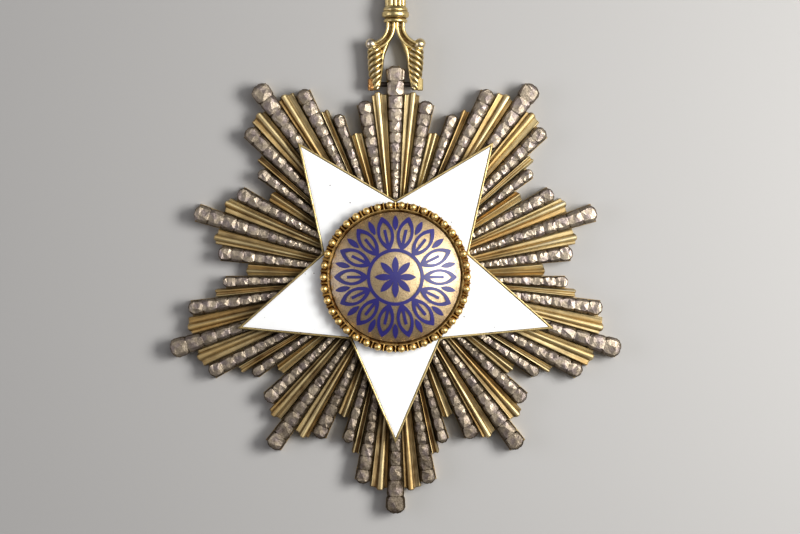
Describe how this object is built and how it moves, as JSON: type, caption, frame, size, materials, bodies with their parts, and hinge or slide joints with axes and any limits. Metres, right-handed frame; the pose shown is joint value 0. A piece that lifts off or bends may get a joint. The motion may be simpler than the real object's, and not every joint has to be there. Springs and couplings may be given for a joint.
{
  "type": "order insignia",
  "caption": "Order badge: a star of faceted silver and ribbed gilt rays with a white enamel star and a beaded domed medallion, hung on a hinged yoke with rope-twist drops.",
  "frame": {"origin": "centre of the star, on the flat back that the badge lies on", "axes": "+Y from the star's centre up to the suspension loop, +Z out of the face, +X to the right as the face is seen"},
  "size_m": [0.0686, 0.0884, 0.0084],
  "materials": {
    "gilt": "fire-gilt silver, polished and worn, with dark hollows",
    "silver": "cut silver with a grey-brown tarnish",
    "white_enamel": "opaque white fired enamel, glossy",
    "blue_enamel": "dark blue fired enamel, glossy"
  },
  "bodies": {
    "badge": {"gilt_star": "gilt", "silver_star": "silver", "star_frame": "gilt", "enamel_point_1": "white_enamel", "enamel_point_2": "white_enamel", "enamel_point_3": "white_enamel", "enamel_point_4": "white_enamel", "enamel_point_5": "white_enamel", "medallion_rim": "gilt", "medallion_face": "gilt", "medallion_ornament": "blue_enamel", "centre_post": "gilt", "hinge_ray": "silver"},
    "yoke": {"suspension_yoke": "gilt", "hinge_pin": "gilt"}
  },
  "joints": [
    {"name": "yoke_hinge", "type": "hinge", "parent": "badge", "child": "yoke", "pos_m": [0, 0.029, 0.00205], "axis": [1, 0, 0], "range_deg": [-90, 90]}
  ]
}
